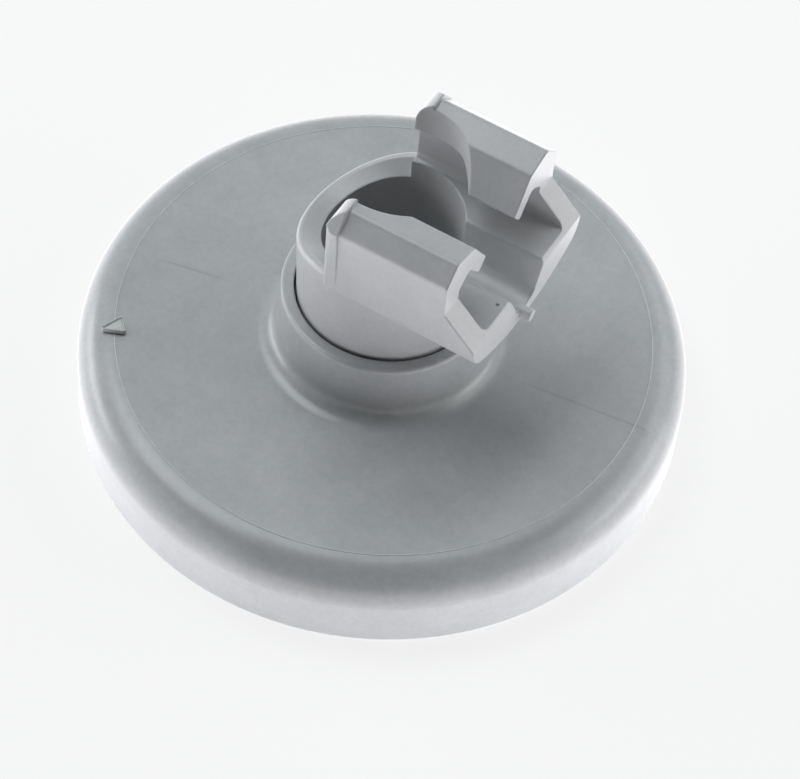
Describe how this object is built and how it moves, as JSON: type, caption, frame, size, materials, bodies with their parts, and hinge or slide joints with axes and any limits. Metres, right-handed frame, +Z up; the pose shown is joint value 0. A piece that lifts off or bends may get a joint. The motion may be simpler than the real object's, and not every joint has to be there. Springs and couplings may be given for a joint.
{
  "type": "dishwasher rack roller",
  "caption": "Flat roller wheel on a hollow stem, topped by an open channel with two hooked arms that snap over a rack wire.",
  "frame": {"origin": "on the wheel's axis, in the plane of the rim that it rests on", "axes": "+Z up along the wheel's axis, towards the clip; +X along the wire channel, towards its open end with the gate stub"},
  "size_m": [0.04, 0.04, 0.0237],
  "materials": {
    "wheel_plastic": "satin moulded",
    "clip_plastic": "satin moulded"
  },
  "bodies": {
    "clip": {"rack_clip": "clip_plastic"},
    "roller": {"wheel": "wheel_plastic"}
  },
  "joints": [
    {"name": "wheel_spin", "type": "hinge", "parent": "clip", "child": "roller", "pos_m": [0, 0, 0.0055], "axis": [0, 0, 1], "continuous": true}
  ]
}
